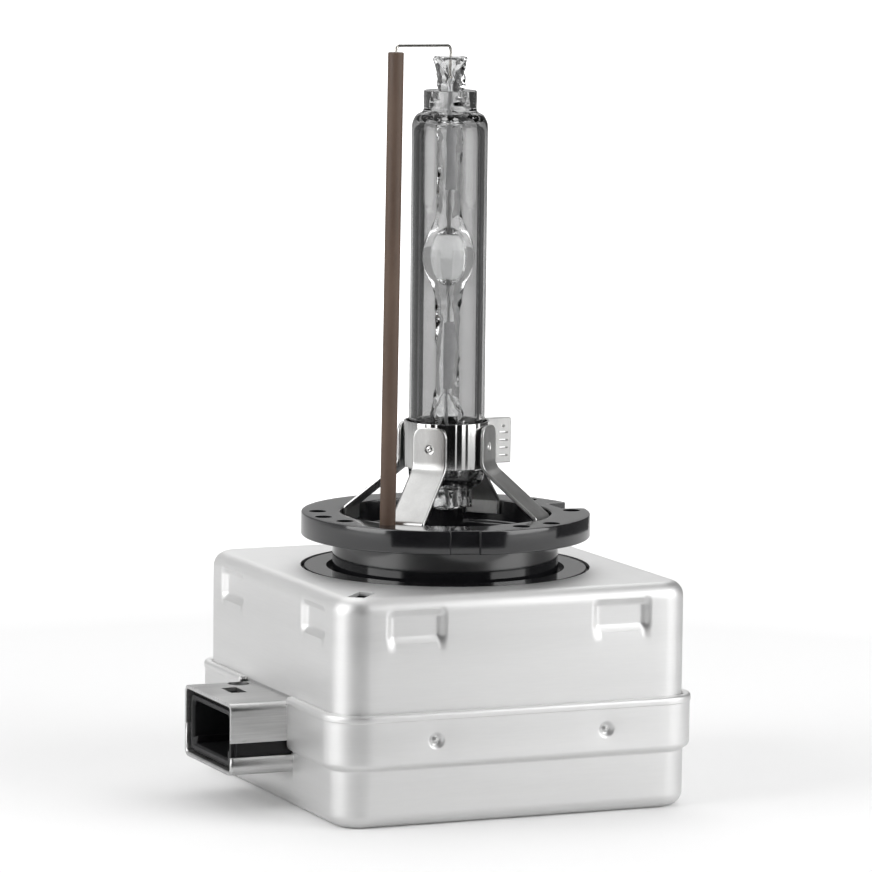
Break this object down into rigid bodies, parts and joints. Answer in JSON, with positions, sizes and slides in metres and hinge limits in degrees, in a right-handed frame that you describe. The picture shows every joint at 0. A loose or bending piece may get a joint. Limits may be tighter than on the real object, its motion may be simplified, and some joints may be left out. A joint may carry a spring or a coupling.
{
  "type": "headlight bulb",
  "caption": "Gas-discharge headlight bulb: glass burner on a black ring flange, with a return wire in a ceramic tube and a square metal igniter box with a plug socket on its side.",
  "frame": {"origin": "on the lamp axis, in the top plane of the ring flange, which the headlamp's holder seats against", "axes": "+Z along the burner, towards its tip; -X towards the plug socket on the side of the igniter box"},
  "size_m": [0.0496, 0.0432, 0.0829],
  "materials": {
    "cover_steel": "satin",
    "socket_plastic": "moulded, fine grain",
    "contact_metal": "tinned",
    "black_moulding": "moulded, satin",
    "leg_steel": "satin",
    "band_steel": "polished",
    "quartz": "clear",
    "brown_ceramic": "matte",
    "wire_nickel": "drawn",
    "tungsten": "drawn",
    "molybdenum": "rolled",
    "copper": "bare",
    "enamelled_copper": "enamelled",
    "ferrite": "fired",
    "bobbin_plastic": "moulded",
    "white_ceramic": "fired",
    "capacitor_resin": "cast",
    "resistor_lacquer": "lacquered",
    "potting_resin": "cast, semi-gloss"
  },
  "bodies": {
    "root": {"upper_cover": "cover_steel", "lower_cover": "cover_steel", "connector_housing": "socket_plastic", "pin_supply": "contact_metal", "pin_return": "contact_metal", "pin_boost": "contact_metal", "igniter_case": "black_moulding", "lamp_base": "black_moulding", "centre_post": "black_moulding", "leg_front_left": "leg_steel", "leg_front_right": "leg_steel", "leg_back_right": "leg_steel", "leg_back_left": "leg_steel", "clamp_band": "band_steel", "outer_bulb": "quartz", "discharge_tube": "quartz", "ceramic_tube": "brown_ceramic", "return_wire": "wire_nickel", "upper_electrode": "tungsten", "lower_electrode": "tungsten", "upper_foil": "molybdenum", "lower_foil": "molybdenum", "upper_lead": "molybdenum", "lower_lead": "molybdenum", "high_voltage_lead": "copper", "transformer_core": "ferrite", "transformer_bobbin": "bobbin_plastic", "secondary_winding": "enamelled_copper", "primary_winding": "copper", "spark_gap_body": "white_ceramic", "spark_gap_caps": "contact_metal", "ignition_capacitor": "capacitor_resin", "bleed_resistor": "resistor_lacquer", "supply_track": "contact_metal", "return_track": "contact_metal", "boost_track": "contact_metal", "potting": "potting_resin"}
  },
  "joints": []
}
